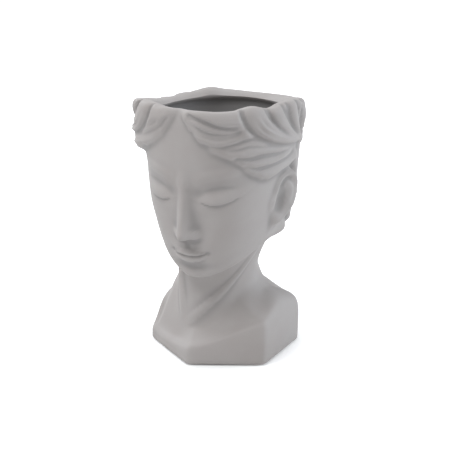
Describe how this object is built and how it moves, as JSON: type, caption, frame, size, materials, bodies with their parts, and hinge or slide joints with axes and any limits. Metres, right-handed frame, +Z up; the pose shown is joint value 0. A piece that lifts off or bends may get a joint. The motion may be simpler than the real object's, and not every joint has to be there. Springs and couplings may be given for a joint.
{
  "type": "head planter",
  "caption": "Ceramic planter shaped as a bowed head with closed eyes on a faceted bust foot; the wavy hair forms the open rim, with a drain plug and foot pads.",
  "frame": {"origin": "middle of the overall footprint, on the ground plane under the foot pads", "axes": "+Z up, the face looks towards -Y, the figure's left side is +X"},
  "size_m": [0.1326, 0.1562, 0.2186],
  "materials": {
    "ceramic": "matte",
    "plug_rubber": "matte",
    "pad_rubber": "matte"
  },
  "bodies": {
    "planter": {"planter_body": "ceramic", "foot_pad_1": "pad_rubber", "foot_pad_2": "pad_rubber", "foot_pad_3": "pad_rubber", "foot_pad_4": "pad_rubber", "foot_pad_5": "pad_rubber", "foot_pad_6": "pad_rubber"},
    "plug": {"drain_plug": "plug_rubber"}
  },
  "joints": [
    {"name": "plug_lift", "type": "slide", "parent": "planter", "child": "plug", "axis": [0, 0, 1], "range_m": [0, 0.225]}
  ]
}
